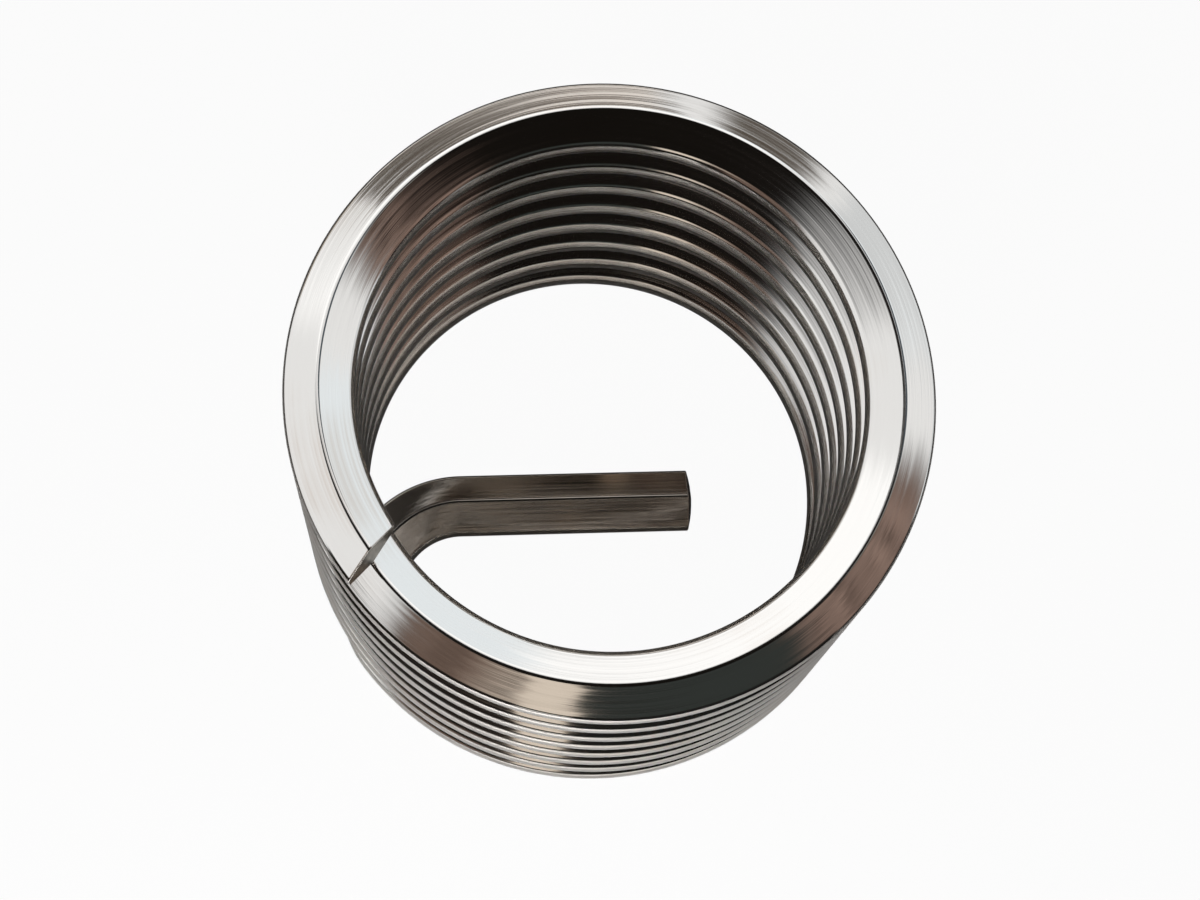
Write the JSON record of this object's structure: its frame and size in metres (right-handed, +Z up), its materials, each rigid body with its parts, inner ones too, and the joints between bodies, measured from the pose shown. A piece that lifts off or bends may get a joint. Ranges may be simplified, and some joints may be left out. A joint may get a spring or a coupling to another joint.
{
  "type": "helical thread insert",
  "caption": "Helical wire thread insert: a close-wound right-hand coil of diamond-section steel wire, with a driving tang bent across its lower end and a plain cut at the top.",
  "frame": {"origin": "on the coil's axis, at the level that the insert stands on", "axes": "+Z up the coil's axis, from the tang towards the plain cut end; +X along the tang towards its tip"},
  "size_m": [0.0098, 0.0098, 0.0086],
  "materials": {
    "wire": "gloss"
  },
  "bodies": {
    "root": {"thread_insert": "wire"}
  },
  "joints": []
}
